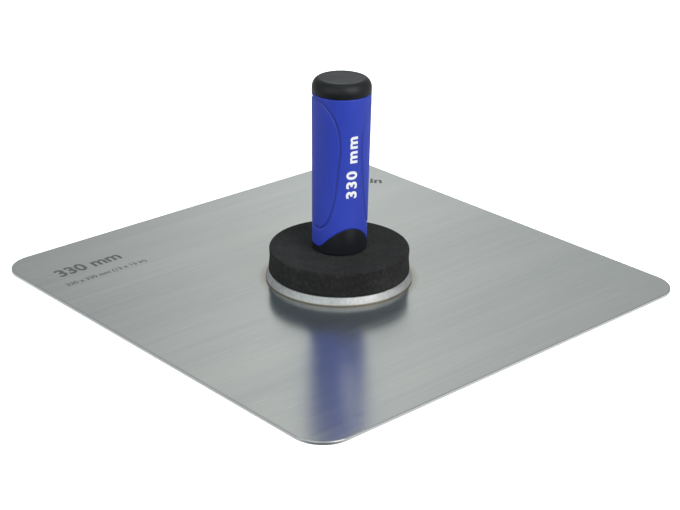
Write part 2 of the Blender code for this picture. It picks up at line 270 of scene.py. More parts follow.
class Look:
    """A node material with a few short ways to add textures to it."""

    def __init__(self, name, **sockets):
        self.material = bpy.data.materials.new(name)
        self.material.use_nodes = True
        self.tree = self.material.node_tree
        self.shader = self.tree.nodes["Principled BSDF"]
        for socket, value in sockets.items():
            self.shader.inputs[socket.replace("_", " ")].default_value = value
        self.coords = self.tree.nodes.new("ShaderNodeTexCoord")

    def link(self, output, node, socket):
        self.tree.links.new(output, node.inputs[socket])

    def noise(self, stretch, detail=3.0, roughness=0.55, turn=0.0, offset=0.0, kind="noise"):
        """Noise with a scale for each axis, in cycles a metre."""
        mapping = self.tree.nodes.new("ShaderNodeMapping")
        mapping.inputs["Scale"].default_value = stretch
        mapping.inputs["Rotation"].default_value = (0.0, 0.0, turn)
        mapping.inputs["Location"].default_value = (offset, offset * 0.7, offset * 1.3)
        self.link(self.coords.outputs["Object"], mapping, "Vector")
        if kind == "cells":
            node = self.tree.nodes.new("ShaderNodeTexVoronoi")
            node.inputs["Scale"].default_value = 1.0
            self.link(mapping.outputs["Vector"], node, "Vector")
            return node.outputs["Distance"]
        node = self.tree.nodes.new("ShaderNodeTexNoise")
        node.inputs["Scale"].default_value = 1.0
        node.inputs["Detail"].default_value = detail
        node.inputs["Roughness"].default_value = roughness
        self.link(mapping.outputs["Vector"], node, "Vector")
        return node.outputs["Fac"]

    def distance(self):
        """Distance from the object's vertical axis."""
        flat = self.tree.nodes.new("ShaderNodeVectorMath")
        flat.operation = "MULTIPLY"
        flat.inputs[1].default_value = (1.0, 1.0, 0.0)
        self.link(self.coords.outputs["Object"], flat, 0)
        length = self.tree.nodes.new("ShaderNodeVectorMath")
        length.operation = "LENGTH"
        self.link(flat.outputs["Vector"], length, 0)
        return length.outputs["Value"]

    def height(self):
        """Height in the object's own frame."""
        split = self.tree.nodes.new("ShaderNodeSeparateXYZ")
        self.link(self.coords.outputs["Object"], split, 0)
        return split.outputs["Z"]

    def spread(self, value, low, high, start=0.3, end=0.7):
        """Map a texture's values from start..end to low..high."""
        node = self.tree.nodes.new("ShaderNodeMapRange")
        for socket, number in (
            ("From Min", start), ("From Max", end), ("To Min", low), ("To Max", high),
        ):
            node.inputs[socket].default_value = number
        self.link(value, node, "Value")
        return node.outputs["Result"]

    def math(self, operation, first, second):
        node = self.tree.nodes.new("ShaderNodeMath")
        node.operation = operation
        for index, value in enumerate((first, second)):
            if isinstance(value, (int, float)):
                node.inputs[index].default_value = value
            else:
                self.tree.links.new(value, node.inputs[index])
        return node.outputs[0]

    def add(self, *values):
        total = values[0]
        for value in values[1:]:
            total = self.math("ADD", total, value)
        return total

    def tone(self, *values):
        """Textures that together reach from -1 to 1, as one value from 0 to 1."""
        return self.spread(self.add(*values), 0.0, 1.0, -1.0, 1.0)

    def ramp(self, value, *stops):
        node = self.tree.nodes.new("ShaderNodeValToRGB")
        elements = node.color_ramp.elements
        while len(elements) < len(stops):
            elements.new(0.5)
        for element, (place, color) in zip(elements, stops):
            element.position = place
            element.color = (*color, 1.0)
        self.link(value, node, "Fac")
        return node.outputs["Color"]

    def blend(self, factor, first, second):
        node = self.tree.nodes.new("ShaderNodeMix")
        node.data_type = "RGBA"
        for socket, value in ((0, factor), (6, first), (7, second)):
            if isinstance(value, (int, float)):
                node.inputs[socket].default_value = value
            elif isinstance(value, tuple):
                node.inputs[socket].default_value = (*value, 1.0)
            else:
                self.tree.links.new(value, node.inputs[socket])
        return node.outputs[2]

    def attribute(self, name):
        node = self.tree.nodes.new("ShaderNodeAttribute")
        node.attribute_name = name
        return node.outputs["Fac"]

    def bump(self, height, distance, strength=1.0):
        node = self.tree.nodes.new("ShaderNodeBump")
        node.inputs["Strength"].default_value = strength
        node.inputs["Distance"].default_value = distance
        self.link(height, node, "Height")
        return node.outputs["Normal"]

    def set(self, **links):
        """Connect textures to the shader, and give the finished material."""
        for socket, output in links.items():
            self.link(output, self.shader, socket.replace("_", " "))
        return self.material


def plate_metal():
    """Sheet brushed along Y: broad bands, fine lines, a few stray scratches, and painted shade: a
    darker, warmer ring round the disc.
    """
    look = Look("plate_brushed_metal", Metallic=0.93, Anisotropic=0.50, Sheen_Weight=0.12,
                Sheen_Roughness=0.5, Sheen_Tint=(0.30, 0.65, 1.0, 1.0))
    bands = look.noise((26.0, 1.6, 26.0), detail=2.0)
    lines = look.noise((420.0, 5.0, 420.0), detail=4.0, roughness=0.65, offset=3.0)
    fine = look.noise((2600.0, 22.0, 2600.0), detail=2.0, roughness=0.6, offset=7.0)
    cloud = look.noise((9.0, 6.0, 9.0), detail=3.0, offset=11.0)
    scratch = look.noise((1500.0, 30.0, 1500.0), detail=1.0, turn=math.radians(9), offset=5.0)
    scratch = look.spread(scratch, 0.0, 1.0, 0.70, 0.80)
    tone = look.tone(
        look.spread(bands, -0.35, 0.35), look.spread(lines, -0.30, 0.30),
        look.spread(fine, -0.16, 0.16), look.spread(cloud, -0.20, 0.20),
    )
    color = look.ramp(tone, (0.0, (0.382, 0.387, 0.369)), (0.5, (0.444, 0.444, 0.418)),
                      (1.0, (0.512, 0.504, 0.467)))
    color = look.blend(look.math("MULTIPLY", scratch, 0.35), color, (0.66, 0.66, 0.65))
    # Painted shade: a darker, warmer ring on the plate round the disc, which also dims the disc's
    # reflection there.
    disc_ring_shade = look.add(look.distance(), look.spread(cloud, -0.0012, 0.0012))
    disc_ring_shade = look.spread(disc_ring_shade, 0.65, 0.0, DISC_R + 0.0002, DISC_R + 0.0050)
    color = look.blend(disc_ring_shade, color, (0.285, 0.235, 0.165))
    cut = look.attribute("sheared")
    color = look.blend(cut, color, (0.76, 0.77, 0.78))
    rough = look.add(look.spread(lines, 0.185, 0.230), look.spread(cloud, -0.02, 0.02),
                     look.math("MULTIPLY", cut, 0.20))
    height = look.add(look.spread(fine, 0.0, 1.0), look.spread(lines, 0.0, 0.8),
                      look.math("MULTIPLY", scratch, -1.0))
    tangent = look.tree.nodes.new("ShaderNodeTangent")
    tangent.direction_type = "UV_MAP"
    tangent.uv_map = "across"
    return look.set(
        Base_Color=color, Roughness=rough, Tangent=tangent.outputs["Tangent"],
        Normal=look.bump(height, 0.0000010),
    )


def cast_metal():
    """Sandy cast metal, with painted contact shade: a warm tan tint on its lowest two millimetres,
    where it meets the plate.
    """
    look = Look("disc_cast_metal", Metallic=0.72)
    grain = look.noise((2600.0,) * 3, detail=4.0, roughness=0.7)
    mottle = look.noise((420.0,) * 3, detail=3.0, offset=4.0)
    broad = look.noise((60.0,) * 3, detail=2.0, offset=9.0)
    tone = look.tone(
        look.spread(grain, -0.5, 0.5), look.spread(mottle, -0.4, 0.4), look.spread(broad, -0.2, 0.2),
    )
    color = look.ramp(tone, (0.0, (0.215, 0.220, 0.221)), (0.5, (0.362, 0.370, 0.371)),
                      (1.0, (0.54, 0.547, 0.545)))
    # Painted shade: a warm tan tint blended into the rim's lowest two millimetres, where the disc
    # meets the plate.
    foot_shade = look.math("ADD", look.height(), look.spread(mottle, -0.0003, 0.0003))
    foot_shade = look.spread(foot_shade, 0.50, 0.0, PLATE_TOP + 0.0002, PLATE_TOP + 0.0020)
    color = look.blend(foot_shade, color, (0.52, 0.46, 0.36))
    return look.set(
        Base_Color=color, Roughness=look.spread(mottle, 0.46, 0.60),
        Normal=look.bump(look.add(grain, look.math("MULTIPLY", mottle, 0.8)), 0.00012, 0.9),
    )


def bare_metal(name, dark, light, low, high):
    """Turned or plated metal with a fine grain, small stains and slight wear."""
    look = Look(name, Metallic=1.0)
    grain = look.noise((1900.0,) * 3, detail=3.0)
    stain = look.noise((180.0,) * 3, detail=4.0, roughness=0.65, offset=6.0)
    tone = look.tone(look.spread(grain, -0.3, 0.3), look.spread(stain, -0.7, 0.7))
    return look.set(
        Base_Color=look.ramp(tone, (0.0, dark), (1.0, light)),
        Roughness=look.spread(stain, low, high),
        Normal=look.bump(grain, 0.00003, 0.8),
    )


def foam():
    """Closed-cell foam: tiny open pores in the skin, matt, with paler dust in the grain."""
    look = Look("pad_foam", Specular_IOR_Level=0.08, Sheen_Weight=0.03, Sheen_Roughness=0.6,
                Sheen_Tint=(0.8, 0.8, 0.8, 1.0))
    pores = look.noise((1500.0,) * 3, kind="cells")
    fine = look.noise((3200.0,) * 3, detail=3.0, roughness=0.7)
    mottle = look.noise((420.0,) * 3, detail=4.0, roughness=0.6, offset=3.0)
    broad = look.noise((45.0,) * 3, detail=2.0, offset=8.0)
    tone = look.tone(
        look.spread(fine, -0.40, 0.40), look.spread(mottle, -0.38, 0.38),
        look.spread(broad, -0.22, 0.22),
    )
    color = look.ramp(tone, (0.0, (0.0040, 0.0040, 0.0040)), (0.5, (0.0160, 0.0159, 0.0158)),
                      (1.0, (0.0430, 0.0425, 0.0415)))
    return look.set(
        Base_Color=color, Roughness=look.spread(mottle, 0.80, 0.96),
        Normal=look.bump(look.add(look.spread(pores, 0.0, 1.0, 0.0, 0.7), fine), 0.00022, 0.8),
    )


def moulded(name, dark, light, rough, depth, specular, groove_shade=None):
    """Moulded plastic or rubber with a fine spark-eroded grain and faint handling marks. A groove
    colour, if given, is painted shade that darkens the groove lines.
    """
    look = Look(name, Specular_IOR_Level=specular)
    grit = look.noise((1500.0,) * 3, detail=3.0, roughness=0.6)
    smear = look.noise((70.0, 70.0, 26.0), detail=4.0, roughness=0.6, offset=5.0)
    tone = look.tone(look.spread(grit, -0.35, 0.35), look.spread(smear, -0.65, 0.65))
    color = look.ramp(tone, (0.0, dark), (1.0, light))
    if groove_shade:
        # Painted shade: the colour darkens along the groove lines, as far as the groove attribute
        # gives.
        share = look.math("MULTIPLY", look.attribute("groove"), 0.65)
        color = look.blend(share, color, groove_shade)
    return look.set(
        Base_Color=color, Roughness=look.spread(smear, *rough), Normal=look.bump(grit, depth, 0.8),
    )


def marking(name, dark, light, rough):
    """Print or etching with small specks and a little wear."""
    look = Look(name)
    speck = look.noise((2200.0,) * 3, detail=4.0, roughness=0.7)
    wear = look.noise((300.0,) * 3, detail=3.0, offset=3.0)
    tone = look.tone(look.spread(speck, -0.4, 0.4), look.spread(wear, -0.6, 0.6))
    return look.set(
        Base_Color=look.ramp(tone, (0.0, dark), (1.0, light)),
        Roughness=look.spread(wear, rough - 0.05, rough + 0.08),
        Normal=look.bump(speck, 0.00001),
    )


PLATE_METAL = plate_metal()
CAST_METAL = cast_metal()
RIVET_METAL = bare_metal("rivet_metal", (0.50, 0.50, 0.49), (0.66, 0.66, 0.65), 0.28, 0.42)
STEEL = bare_metal("plated_steel", (0.46, 0.46, 0.44), (0.62, 0.62, 0.60), 0.24, 0.38)
BRASS = bare_metal("insert_brass", (0.60, 0.43, 0.18), (0.78, 0.58, 0.28), 0.28, 0.42)
FOAM = foam()
CORE_PLASTIC = moulded(
    "core_plastic", (0.0055, 0.0062, 0.0084), (0.0095, 0.0104, 0.0130),
    rough=(0.38, 0.46), depth=0.00003, specular=0.24,
)
# The darker blue for the groove lines is painted shade.
GRIP_RUBBER = moulded(
    "grip_rubber", (0.007, 0.029, 0.350), (0.012, 0.038, 0.430),
    rough=(0.50, 0.60), depth=0.00005, specular=0.62, groove_shade=(0.005, 0.014, 0.165),
)
CAP_RUBBER = moulded(
    "cap_rubber", (0.0050, 0.0058, 0.0072), (0.0100, 0.0112, 0.0130),
    rough=(0.38, 0.48), depth=0.00005, specular=0.22,
)
WHITE_PRINT = marking("white_print", (0.74, 0.75, 0.77), (0.88, 0.89, 0.91), 0.50)
ETCHED = marking("etched_mark", (0.055, 0.056, 0.052), (0.110, 0.112, 0.104), 0.60)


# ---------------------------------------------------------------- plate, disc and fasteners

def rounded_square(half, corner, steps=18):
    """The outline of a square with round corners, as points in the XY plane."""
    made = []
    for quarter in range(4):
        middle = math.pi / 4 + quarter * math.pi / 2
        cx = (half - corner) * (1 if math.cos(middle) > 0 else -1)
        cy = (half - corner) * (1 if math.sin(middle) > 0 else -1)
        for step in range(steps + 1):
            angle = quarter * math.pi / 2 + step / steps * math.pi / 2
            made.append((cx + corner * math.cos(angle), cy + corner * math.sin(angle)))
    return made


def plate_mesh():
    """The sheet with its rolled-over edges, before its holes are cut."""
    rolled = [(PLATE_EDGE * (math.sin(a) - 1), PLATE_EDGE * (1 - math.cos(a)))
              for a in np.linspace(0, math.pi / 2, 5)]
    flat = -3 * PLATE_EDGE
    profile = [(flat, 0.0), *rolled, *[(x, PLATE_TOP - z) for x, z in reversed(rolled)],
               (flat, PLATE_TOP)]
    rings = [rounded_square(PLATE_HALF + offset, PLATE_CORNER + offset) for offset, _ in profile]
    verts = [(x, y, height) for ring, (_, height) in zip(rings, profile) for x, y in ring]
    return mesh_from("hawk_plate_sheet", verts, tube_faces(len(rings), len(rings[0])))


def cut_out(mesh, cutters):
    """Cut the cutters out of a mesh, and return the result."""
    target = add_object("being_cut", mesh)
    made = []
    for index, cutter in enumerate(cutters):
        obj = add_object(f"cutter_{index}", cutter)
        made.append(obj)
        modifier = target.modifiers.new(f"cut_{index}", "BOOLEAN")
        modifier.operation = "DIFFERENCE"
        modifier.solver = "EXACT"
        modifier.object = obj
    bpy.context.view_layer.update()
    evaluated = target.evaluated_get(bpy.context.evaluated_depsgraph_get())
    result = bpy.data.meshes.new_from_object(evaluated)
    for obj in [target, *made]:
        bpy.data.objects.remove(obj, do_unlink=True)
    result.materials.clear()
    return result


def rivet_places():
    """Number, x and y of each rivet."""
    for number in range(RIVETS):
        angle = 2 * math.pi * (number + 0.5) / RIVETS
        yield number, RIVET_CIRCLE_R * math.cos(angle), RIVET_CIRCLE_R * math.sin(angle)


def moved(mesh, x, y):
    copy = mesh.copy()
    copy.transform(Matrix.Translation((x, y, 0.0)))
    return copy


def hole_mesh():
    """What a rivet's hole takes away: countersink, shank and the pocket of its tail."""
    wide = GAP * 0.6
    above, below = 0.012, -0.002
    return lathe("rivet_hole", [
        (0.0, above), (RIVET_TAIL_R + wide, above), (RIVET_TAIL_R + wide, RIVET_TAIL_LOW - wide),
        (RIVET_SHANK_R + wide, RIVET_TAIL_LOW - wide), (RIVET_SHANK_R + wide, PLATE_TOP + 0.0001),
        (RIVET_HEAD_R + wide, 0.0), (RIVET_HEAD_R + wide, below), (0.0, below),
    ], 48, closed=False)


HOLE = hole_mesh()


def with_rivet_holes(mesh):
    result = cut_out(mesh, [moved(HOLE, x, y) for _, x, y in rivet_places()])
    smooth(result, 34)
    return result


def plate_sheet():
    """The finished sheet, with what its material reads: the sheared edge and the brushing's UV map."""
    sheet = with_rivet_holes(plate_mesh())
    sheared = sheet.attributes.new("sheared", "FLOAT", "POINT")
    sheared.data.foreach_set("value", [
        float(PLATE_EDGE * 0.4 < v.co.z < PLATE_TOP - PLATE_EDGE * 0.9
              and v.co.xy.length > RIVET_CIRCLE_R * 2)
        for v in sheet.vertices
    ])
    across = sheet.uv_layers.new(name="across")
    for loop in sheet.loops:
        point = sheet.vertices[loop.vertex_index].co
        across.data[loop.index].uv = ((point.x + point.z) * 3 + 0.5, (point.y + point.z) * 3 + 0.5)
    return sheet


piece("hawk_plate_brushed", plate_sheet(), PLATE_METAL, "plate", "plate_brushed_metal", "hawk_plate")

disc = lathe("mounting_disc_cast", spaced(fillet([
    (BOLT_R + GAP, DISC_FOOT), (BOLT_R + GAP, BOSS_TOP), (BOSS_R - 0.0008, BOSS_TOP),
    (BOSS_R, DISC_TOP + 0.0010), (BOSS_R + 0.0002, DISC_TOP),
    (DISC_R - DISC_RIM_IN, DISC_TOP), (DISC_R, DISC_TOP - DISC_RIM_DROP), (DISC_R - 0.0005, DISC_FOOT),
], [0.0004, 0.0003, 0.0006, 0.0002, 0.0012, 0.0007, 0.0010, 0.00005]), 0.0020), 240)
disc = with_rivet_holes(disc)
piece("mounting_disc_cast", disc, CAST_METAL, "plate", "disc_cast_metal", "mounting_disc")

RIVET = lathe("disc_rivet", fillet([
    (0.0, DISC_TOP - 0.0001), (RIVET_TAIL_R, DISC_TOP - 0.0002), (RIVET_TAIL_R, RIVET_TAIL_LOW),
    (RIVET_SHANK_R, RIVET_TAIL_LOW), (RIVET_SHANK_R, PLATE_TOP + 0.0002),
    (RIVET_HEAD_R - 0.0001, 0.0001), (RIVET_HEAD_R - 0.0003, 0.0), (0.0, 0.0),
], [0, 0.0005, 0.0002, 0.0001, 0.0002, 0.00005, 0.0001, 0], closed=False), 64, closed=False)
for number, x, y in rivet_places():
    name = f"disc_rivet_{number + 1}"
    piece(f"{name}_turned", moved(RIVET, x, y), RIVET_METAL, "plate", "rivet_metal", name)


def hexagonal(low, high, turn=0.0):
    """A ring shape limited by six flats, with 30 degree chamfers turned on its ends."""
    half = HEX_FLATS / 2

    def shape(radius, height, angle):
        sector = np.mod(angle - turn, math.pi / 3) - math.pi / 6
        flats = half / np.cos(sector)
        from_end = np.maximum(np.minimum(height - low, high - height), 0.0)
        cone = half * 0.985 + from_end / math.tan(math.radians(30))
        outer = radius > half - 1e-6
        return np.where(outer, np.minimum(flats, cone), radius), height

    return shape


def hex_rows(low, high, inner):
    """An outline for hexagonal(), with rows close together near its ends."""
    shares = (0, 0.03, 0.08, 0.14, 0.22, 0.5, 0.78, 0.86, 0.92, 0.97, 1)
    outer = [(HEX_FLATS / 2, low + t * (high - low)) for t in shares]
    return [(inner, low), *outer, (inner, high)]


nut = lathe("lock_nut_threaded", [
    *hex_rows(NUT_LOW.z, NUT_HIGH.z, BOLT_R + BOLT_ROOM), (BOLT_R + GAP, NUT_HIGH.z - 0.0005),
    (BOLT_R + GAP, NUT_LOW.z + 0.0005),
], 144, shape=hexagonal(NUT_LOW.z, NUT_HIGH.z, turn=math.radians(12)), sharp=18)
piece("lock_nut_threaded", nut, STEEL, "plate", "plated_steel", "lock_nut")

washer = lathe("plain_washer_stamped", fillet([
    (WASHER_HIGH.x, WASHER_HIGH.z), (WASHER_HIGH.x, WASHER_LOW.z),
    (BOLT_R + GAP, WASHER_LOW.z), (BOLT_R + GAP, WASHER_HIGH.z),
], [0.0004, 0.0001, 0.0001, 0.0003]), 128)
piece("plain_washer_stamped", washer, STEEL, "plate", "plated_steel", "plain_washer")


def spring_washer():
    """A split ring whose ends stand slightly apart in height."""
    section = [(SPRING_HIGH.x, 0.93), (SPRING_HIGH.x, 0.07), (BOLT_R + GAP, 0.0), (BOLT_R + GAP, 1.0)]
    steps, half_split = 120, 0.055
    thick = SPRING_HIGH.z - SPRING_LOW.z
    verts = []
    for step in range(steps + 1):
        share = step / steps
        angle = half_split + share * (2 * math.pi - 2 * half_split)
        for radius, up in section:
            slanted = angle + 0.02 * (up - 0.5)
            height = SPRING_LOW.z + thick * (0.06 + 0.88 * up + 0.06 * (2 * share - 1))
            verts.append((radius * math.cos(slanted), radius * math.sin(slanted), height))
    mesh = mesh_from("lock_washer_split", verts, tube_faces(steps + 1, len(section)))
    smooth(mesh, 40)
    return mesh


piece("lock_washer_split", spring_washer(), STEEL, "plate", "plated_steel", "lock_washer")


def bolt_mesh():
    """A hexagon-headed bolt with its real 1.75 mm thread from the boss to the tip."""
    low, tip, head_top = BOLT_LOW.z, BOLT_HIGH.z, 0.0101
    start, run_in, run_out = BOSS_TOP - 0.002, 0.002, 0.0012
    crest, flanks = 0.12, 0.74      # shares of the pitch
    rows = [(0.0, low), (HEX_FLATS / 2 * 0.9, low)]
    rows += hex_rows(low, head_top, BOLT_R)[1:-1]
    rows += [(BOLT_R, head_top), (BOLT_R, head_top + 0.002)]
    rows += [(BOLT_R, z) for z in np.arange(start, tip - 0.0008, THREAD_PITCH / 12)]
    rows += [(BOLT_R - 0.0004, tip - 0.0004), (BOLT_R - 0.0012, tip), (0.0, tip)]
    head = hexagonal(low, head_top)

    def shape(radius, height, angle):
        wide, height = head(radius, height, angle)
        phase = np.mod(height / THREAD_PITCH - angle / (2 * math.pi), 1.0)
        tooth = np.clip((np.abs(phase - 0.5) * 2 - crest) / flanks, 0.0, 1.0)
        fade = np.clip((height - start) / run_in, 0, 1)
        fade = fade * np.clip((tip + run_out / 2 - height) / run_out, 0, 1)
        shank = (np.abs(radius - BOLT_R) < 1e-6) & (height >= start)
        return np.where(shank, BOLT_R - THREAD_DEPTH * tooth * fade, wide), height

    return lathe("stud_bolt_threaded", rows, 96, closed=False, shape=shape, sharp=28)


piece("stud_bolt_threaded", bolt_mesh(), STEEL, "plate", "plated_steel", "stud_bolt")

# The insert is hidden, so the CAD mesh stays and only gets its brass.
frame["nodes"]["thread_insert"].data.materials.clear()
frame["nodes"]["thread_insert"].data.materials.append(BRASS)


# ---------------------------------------------------------------- foam pad

def pad_mesh():
    """A ring cut from foam sheet: soft edges, a hollow side and a dent under the collar."""
    top, bottom, radius = PAD_HIGH.z, PAD_LOW.z, PAD_HIGH.x
    middle = (top + bottom) / 2
    outline = fillet([
        (PAD_HOLE_R, bottom), (PAD_HOLE_R, top), (radius - 0.0003, top),
        (radius - 0.0007, middle + 0.001), (radius, bottom + 0.0012), (radius - 0.0002, bottom),
    ], [0.0003, 0.0003, 0.0016, 0.012, 0.0022, 0.0006], steps=8)
    outline = spaced(outline, 0.0007)

    def shape(r, z, angle):
        # Slow hollows and a fine grain in the skin, and the dent that the collar presses.
        x, y = r * np.cos(angle), r * np.sin(angle)
        slow = wobble(x, y, z, 45.0, 1.7)
        grain = wobble(x, y, z, 900.0, 5.3)
        on_top = np.clip((z - (top - 0.0004)) / 0.0003, 0, 1)
        side = np.clip((r - (radius - 0.0022)) / 0.0010, 0, 1)
        r = r - side * (0.00012 * (slow + 1) + 0.00004 * (grain + 1))
        pressed = np.exp(-((r - 0.0170) / 0.0035) ** 2) * 0.00010
        z = z - on_top * (0.00010 * (slow + 1) * (1 - side) + 0.00003 * (grain + 1) + pressed)
        return r, z

    return lathe("foam_pad_soft", outline, 400, shape=shape, sharp=60)


pad = piece("foam_pad_soft", pad_mesh(), FOAM, "pad", "pad_foam", "foam_pad")


# ---------------------------------------------------------------- handle

def grip_radius(height):
    """Outer radius of the collar and the grip, at a height above the seat."""
    return HANDLE_LOW_R + (GRIP_TOP_R - HANDLE_LOW_R) * height / GRIP_TOP


def collar_top(angle):
    """Height above the seat of the line where the collar meets the grip."""
    turn = np.mod(angle - HANDLE_FRONT + math.pi / 2, math.pi) - math.pi / 2
    arch = np.cos(turn * (math.pi / 2) / COLLAR_ARCH_HALF)
    return COLLAR_LOW + COLLAR_ARCH * (arch + np.sqrt(arch * arch + 0.01)) / 2


def core_mesh():
    """The hard moulding: spigot, collar with its wavy shoulder, and the tube inside the grip."""
    rows = [(SPIGOT_R, SPIGOT_LOW), (SPIGOT_R, -0.0003), (HANDLE_LOW_R - 0.0006, 0.0),
            (HANDLE_LOW_R - 0.0002, 0.0001)]
    first = len(rows)
    # The collar's rows hold shares of its height, and the row after them starts at its top.
    rows += [(1.0, share) for share in (*np.linspace(0.0006, 0.97, 34), 0.985, 1.0)]
    last = len(rows)
    rows += [
        (CORE_R, -1.0), (CORE_R, GRIP_TOP - GAP),
        (CORE_BORE_R, GRIP_TOP - GAP), (CORE_BORE_R, CORE_BORE_LOW),
        (BOLT_R + BOLT_ROOM, CORE_BORE_LOW), (BOLT_R + BOLT_ROOM, INSERT_ROOM_TOP),
        (INSERT_ROOM_R, INSERT_ROOM_TOP), (INSERT_ROOM_R, INSERT_ROOM_LOW),
        (NUT_ROOM_R, INSERT_ROOM_LOW), (NUT_ROOM_R, SPIGOT_LOW),
    ]

    def shape(radius, height, angle):
        line = collar_top(angle) - GAP / 2
        share = height[first:last]
        z = 0.0004 + share * (line[first:last] - 0.0004)
        tuck = np.clip((share - 0.97) / 0.03, 0, 1) ** 2 * 0.00018
        low = np.clip(1 - share / 0.03, 0, 1) ** 2 * 0.0001
        radius[first:last] = grip_radius(z) - tuck - low
        height[first:last] = z
        height[last] = line[last]
        return radius, height + SEAT

    return lathe("handle_core_moulded", rows, 300, shape=shape, sharp=40)


piece("handle_core_moulded", core_mesh(), CORE_PLASTIC, "handle", "core_plastic", "handle_core")


def oval_line():
    """Evenly spaced points of one oval groove, as (distance from its middle, world height)."""
    above, below = OVAL_TOP - OVAL_WIDEST, OVAL_WIDEST - OVAL_BOTTOM
    s = np.linspace(math.pi / 2, 0, 3000)
    upper = np.stack([np.cos(s) ** OVAL_POWER, OVAL_WIDEST + above * np.sin(s) ** OVAL_POWER], 1)
    t = np.sin(np.linspace(0, math.pi / 2, 3000))
    width = np.maximum(0, 1 - t ** 4) ** 0.25 * (1 - OVAL_NARROWING * t)
    lower = np.stack([width, OVAL_WIDEST - below * t], 1)
    half = np.concatenate([upper, lower[1:]])
    half[:, 0] *= OVAL_HALF * OVAL_MEAN_R
    along = np.concatenate([[0.0], np.cumsum(np.linalg.norm(np.diff(half, axis=0), axis=1))])
    even = np.linspace(0.0, along[-1], 500)
    half = np.stack([np.interp(even, along, half[:, 0]), np.interp(even, along, half[:, 1])], 1)
    return np.concatenate([half, half * (-1.0, 1.0)])


def groove_share(angle, height):
    """1 on a groove's line, falling to 0 at its sides, for arrays of angles and world heights."""
    line = oval_line()
    x = (np.mod(angle - OVAL_CENTRE + math.pi / 2, math.pi) - math.pi / 2) * OVAL_MEAN_R
    flat_x, flat_z = x.ravel(), height.ravel()
    nearest = np.empty(flat_x.size)
    block = 4096                    # points handled at a time, to spare memory
    for start in range(0, nearest.size, block):
        part = slice(start, start + block)
        squares = (flat_x[part, None] - line[:, 0]) ** 2 + (flat_z[part, None] - line[:, 1]) ** 2
        nearest[part] = np.sqrt(squares.min(1))
    return np.exp(-(nearest.reshape(angle.shape) / (OVAL_WIDTH / 2)) ** 2.4)


def sleeve_mesh():
    """The soft grip, with each oval groove pressed into the mesh and its ends rolled in."""
    share = np.concatenate([[0.0, 0.0012, 0.0028, 0.0048], np.linspace(0.008, 0.992, 197),
                            [0.9952, 0.9972, 0.9988, 1.0]])
    rows = [(1.0, float(s)) for s in share] + [(CORE_R + GAP, 1.0), (CORE_R + GAP, 0.0)]
    outer = len(share)
    kept = {}

    def shape(radius, height, angle):
        bottom = collar_top(angle) + GAP / 2
        z = bottom + height * (GRIP_TOP - bottom)
        end = np.clip(np.minimum(z - bottom, GRIP_TOP - z)[:outer] / 0.0005, 0, 1)
        roll = 0.00032 * (1 - np.sqrt(np.clip(1 - (1 - end) ** 2, 0, 1)))
        groove = groove_share(angle[:outer], z[:outer] + SEAT)
        radius[:outer] = grip_radius(z[:outer]) - roll - OVAL_DEPTH * groove
        kept["groove"] = np.concatenate([groove.ravel(), np.zeros(2 * angle.shape[1])])
        return radius, z + SEAT

    mesh = lathe("grip_sleeve_soft", rows, 432, shape=shape, sharp=60)
    # The grip's material reads this attribute to paint shade along the groove lines.
    groove = mesh.attributes.new("groove", "FLOAT", "POINT")
    groove.data.foreach_set("value", kept["groove"].astype(np.float32))
    return mesh


piece("grip_sleeve_soft", sleeve_mesh(), GRIP_RUBBER, "handle", "grip_rubber", "grip_sleeve")


def cap_mesh():
    """The end cap: a plug, a short wall, a soft shoulder and a flat top with a crisp rim."""
    radius, top = CAP_HIGH.x, CAP_HIGH.z
    bottom = SEAT + GRIP_TOP + GAP
    shoulder = [
        (CAP_FLAT_R + (radius - CAP_FLAT_R) * math.cos(a),
         CAP_WALL_TOP + (top - CAP_WALL_TOP) * math.sin(a))
        for a in np.linspace(0.0, math.pi / 2, 22)[:-1]
    ]
    outline = [
        (0.0, top - CAP_THICK), (CAP_HOLLOW_R, top - CAP_THICK),
        (CAP_HOLLOW_R, CAP_LOW.z), (CAP_PLUG_R, CAP_LOW.z), (CAP_PLUG_R, bottom),
        (radius - 0.0004, bottom), (radius - 0.0001, bottom + 0.0001), (radius, bottom + 0.0005),
        *shoulder,
        (CAP_FLAT_R + 0.00015, top - 0.00002), (CAP_FLAT_R - 0.0001, top),
        (CAP_FLAT_R - 0.0005, top - 0.00003), (CAP_FLAT_R - 0.0008, top - 0.00010),
        (0.0120, top - CAP_DISH), (0.0060, top - CAP_DISH), (0.0, top - CAP_DISH),
    ]
    return lathe("end_cap_moulded", outline, 300, closed=False, sharp=40)


piece("end_cap_moulded", cap_mesh(), CAP_RUBBER, "handle", "cap_rubber", "end_cap")


# ---------------------------------------------------------------- generic size marks

MARK_TURN = math.radians(2.5)
MARK_LIFT = 0.00003           # the print's middle stands this much off the grip
MARK_SINK = 0.000004          # the plate marks' middle lies this much under the plate's top


def text_mesh(name, body, size, bold, stretch=1.0, thick=0.00003, spacing=1.0):
    """Flat lettering in the XY plane, in Blender's own font."""
    curve = bpy.data.curves.new(name, "FONT")
    curve.body = body
    curve.size = size
    curve.offset = bold
    curve.space_character = spacing
    curve.align_x = "CENTER"
    curve.align_y = "CENTER"
    curve.extrude = thick / 2
    curve.resolution_u = 8
    obj = add_object(name, curve)
    bpy.context.view_layer.update()
    evaluated = obj.evaluated_get(bpy.context.evaluated_depsgraph_get())
    mesh = bpy.data.meshes.new_from_object(evaluated)
    bpy.data.objects.remove(obj, do_unlink=True)
    mesh.materials.clear()
    mesh.transform(Matrix.Diagonal((stretch, 1.0, 1.0, 1.0)))
    return mesh


